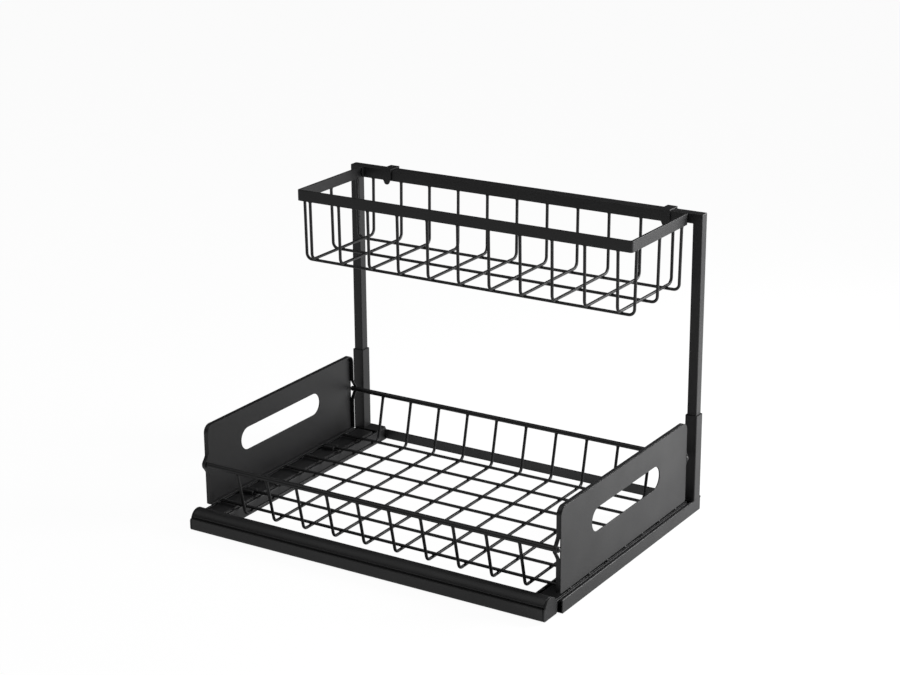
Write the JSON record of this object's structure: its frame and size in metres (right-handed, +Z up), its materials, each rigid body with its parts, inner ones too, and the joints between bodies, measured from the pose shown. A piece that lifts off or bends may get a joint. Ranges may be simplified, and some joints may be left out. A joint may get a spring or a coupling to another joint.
{
  "type": "under sink organizer",
  "caption": "Two-tier under sink organizer: a low base with ball slides, a pull-out wire tray with slotted side panels, and a narrow wire basket hung on a rear frame.",
  "frame": {"origin": "on the floor under the rubber feet, in the middle of the overall width and depth", "axes": "+X to the right along the front bar, +Y from the front bar towards the rear frame, +Z up"},
  "size_m": [0.4, 0.303, 0.3036],
  "materials": {
    "frame_steel": "satin black powder coat on steel sheet and tube",
    "wire_steel": "satin black powder coat on round steel wire",
    "bare_steel": "zinc plated steel",
    "rubber": "matte",
    "nylon": "matte black moulded nylon"
  },
  "bodies": {
    "root": {"left_base_rail": "frame_steel", "right_base_rail": "frame_steel", "back_bar": "frame_steel", "front_tie": "frame_steel", "left_rear_bracket": "frame_steel", "right_rear_bracket": "frame_steel", "left_sleeve": "frame_steel", "right_sleeve": "frame_steel", "left_upright": "frame_steel", "right_upright": "frame_steel", "crossbar": "frame_steel", "rubber_feet": "rubber", "stop_rivets": "bare_steel", "lock_screws": "bare_steel"},
    "ball_cages": {"left_ball_cage": "bare_steel", "right_ball_cage": "bare_steel", "left_slide_balls": "bare_steel", "right_slide_balls": "bare_steel"},
    "carriage": {"left_slide_inner": "frame_steel", "right_slide_inner": "frame_steel", "front_bar": "frame_steel", "wire_saddles": "nylon", "left_bar_cap": "nylon", "right_bar_cap": "nylon", "bar_screws": "bare_steel"},
    "tray": {"left_side_panel": "frame_steel", "right_side_panel": "frame_steel", "left_edge_strip": "frame_steel", "right_edge_strip": "frame_steel", "tray_floor_grid": "wire_steel", "tray_front_wall": "wire_steel", "tray_back_wall": "wire_steel", "tray_front_top_wire": "wire_steel", "tray_back_top_wire": "wire_steel"},
    "basket": {"basket_rim": "frame_steel", "left_hook": "frame_steel", "right_hook": "frame_steel", "basket_floor_grid": "wire_steel", "basket_front_wires": "wire_steel", "basket_back_wires": "wire_steel", "basket_left_wires": "wire_steel", "basket_right_wires": "wire_steel"}
  },
  "joints": [
    {"name": "carriage_slide", "type": "slide", "parent": "root", "child": "carriage", "axis": [0, -1, 0], "range_m": [0, 0.19]},
    {"name": "cage_slide", "type": "slide", "parent": "root", "child": "ball_cages", "axis": [0, -1, 0], "range_m": [0, 0.095]},
    {"name": "tray_lift", "type": "slide", "parent": "carriage", "child": "tray", "axis": [0, 0, 1], "range_m": [0, 0.11]},
    {"name": "basket_lift", "type": "slide", "parent": "root", "child": "basket", "axis": [0, 0, 1], "range_m": [0, 0.06]}
  ],
  "couplings": [
    {"joint": "cage_slide", "follows": "carriage_slide", "ratio": 0.5}
  ]
}
